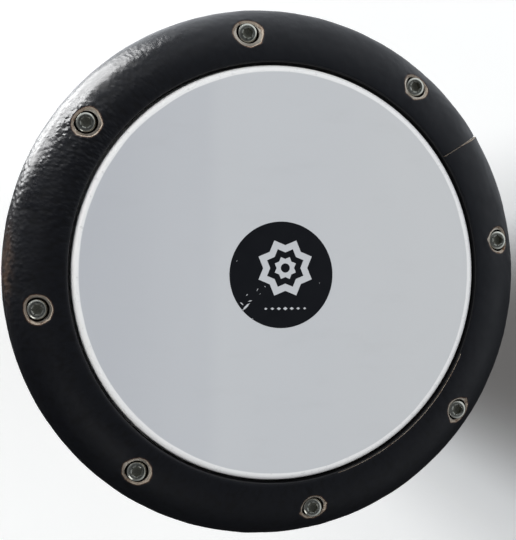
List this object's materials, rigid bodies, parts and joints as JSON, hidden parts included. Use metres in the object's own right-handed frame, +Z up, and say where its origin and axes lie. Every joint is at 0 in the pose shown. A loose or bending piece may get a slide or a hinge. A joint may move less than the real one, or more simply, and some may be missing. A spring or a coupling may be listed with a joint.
{
  "type": "goblet drum",
  "caption": "Goblet drum (darbuka) with cast shell, synthetic head and wide leather-covered tuning ring pulled down by recessed socket bolts.",
  "frame": {"origin": "centre of the foot's underside", "axes": "+Z up the drum's axis to the head"},
  "size_m": [0.2848, 0.2848, 0.431],
  "materials": {
    "painted_casting": "cast, hammered black enamel outside, bare inside",
    "bare_casting": "as cast, machined at the bolts",
    "leather": "black pebbled, semi-gloss, worn",
    "head_film": "satin translucent polyester film",
    "head_print": "black ink, scratched",
    "hoop_aluminium": "rolled channel",
    "resin": "cast epoxy",
    "zinc_steel": "dull zinc plate",
    "brass": "turned"
  },
  "bodies": {
    "shell": {"shell": "painted_casting", "threaded_inserts": "brass", "head_film": "head_film", "centre_print": "head_print"},
    "ring": {"tuning_ring": "bare_casting", "ring_leather": "leather", "bolt_washers": "zinc_steel", "head_hoop": "hoop_aluminium", "hoop_resin": "resin"},
    "tuning_bolt_1": {"tuning_bolt_1": "zinc_steel"},
    "tuning_bolt_2": {"tuning_bolt_2": "zinc_steel"},
    "tuning_bolt_3": {"tuning_bolt_3": "zinc_steel"},
    "tuning_bolt_4": {"tuning_bolt_4": "zinc_steel"},
    "tuning_bolt_5": {"tuning_bolt_5": "zinc_steel"},
    "tuning_bolt_6": {"tuning_bolt_6": "zinc_steel"},
    "tuning_bolt_7": {"tuning_bolt_7": "zinc_steel"},
    "tuning_bolt_8": {"tuning_bolt_8": "zinc_steel"}
  },
  "joints": [
    {"name": "tuning_ring_travel", "type": "slide", "parent": "shell", "child": "ring", "axis": [0, 0, 1], "range_m": [-0.0016, 0.0024], "deforming": ["head_film"]},
    {"name": "tuning_bolt_1_turn", "type": "hinge", "parent": "ring", "child": "tuning_bolt_1", "pos_m": [0.12465, 0.01767, 0.421], "axis": [0, 0, 1], "range_deg": [-578, 866]},
    {"name": "tuning_bolt_2_turn", "type": "hinge", "parent": "ring", "child": "tuning_bolt_2", "pos_m": [0.07565, 0.10064, 0.421], "axis": [0, 0, 1], "range_deg": [-578, 866]},
    {"name": "tuning_bolt_3_turn", "type": "hinge", "parent": "ring", "child": "tuning_bolt_3", "pos_m": [-0.01767, 0.12465, 0.421], "axis": [0, 0, 1], "range_deg": [-578, 866]},
    {"name": "tuning_bolt_4_turn", "type": "hinge", "parent": "ring", "child": "tuning_bolt_4", "pos_m": [-0.10064, 0.07565, 0.421], "axis": [0, 0, 1], "range_deg": [-578, 866]},
    {"name": "tuning_bolt_5_turn", "type": "hinge", "parent": "ring", "child": "tuning_bolt_5", "pos_m": [-0.12465, -0.01767, 0.421], "axis": [0, 0, 1], "range_deg": [-578, 866]},
    {"name": "tuning_bolt_6_turn", "type": "hinge", "parent": "ring", "child": "tuning_bolt_6", "pos_m": [-0.07565, -0.10064, 0.421], "axis": [0, 0, 1], "range_deg": [-578, 866]},
    {"name": "tuning_bolt_7_turn", "type": "hinge", "parent": "ring", "child": "tuning_bolt_7", "pos_m": [0.01767, -0.12465, 0.421], "axis": [0, 0, 1], "range_deg": [-578, 866]},
    {"name": "tuning_bolt_8_turn", "type": "hinge", "parent": "ring", "child": "tuning_bolt_8", "pos_m": [0.10064, -0.07565, 0.421], "axis": [0, 0, 1], "range_deg": [-578, 866]}
  ],
  "couplings": [
    {"joint": "tuning_bolt_1_turn", "follows": "tuning_ring_travel", "rad_per_m": 6283.2},
    {"joint": "tuning_bolt_2_turn", "follows": "tuning_ring_travel", "rad_per_m": 6283.2},
    {"joint": "tuning_bolt_3_turn", "follows": "tuning_ring_travel", "rad_per_m": 6283.2},
    {"joint": "tuning_bolt_4_turn", "follows": "tuning_ring_travel", "rad_per_m": 6283.2},
    {"joint": "tuning_bolt_5_turn", "follows": "tuning_ring_travel", "rad_per_m": 6283.2},
    {"joint": "tuning_bolt_6_turn", "follows": "tuning_ring_travel", "rad_per_m": 6283.2},
    {"joint": "tuning_bolt_7_turn", "follows": "tuning_ring_travel", "rad_per_m": 6283.2},
    {"joint": "tuning_bolt_8_turn", "follows": "tuning_ring_travel", "rad_per_m": 6283.2}
  ]
}
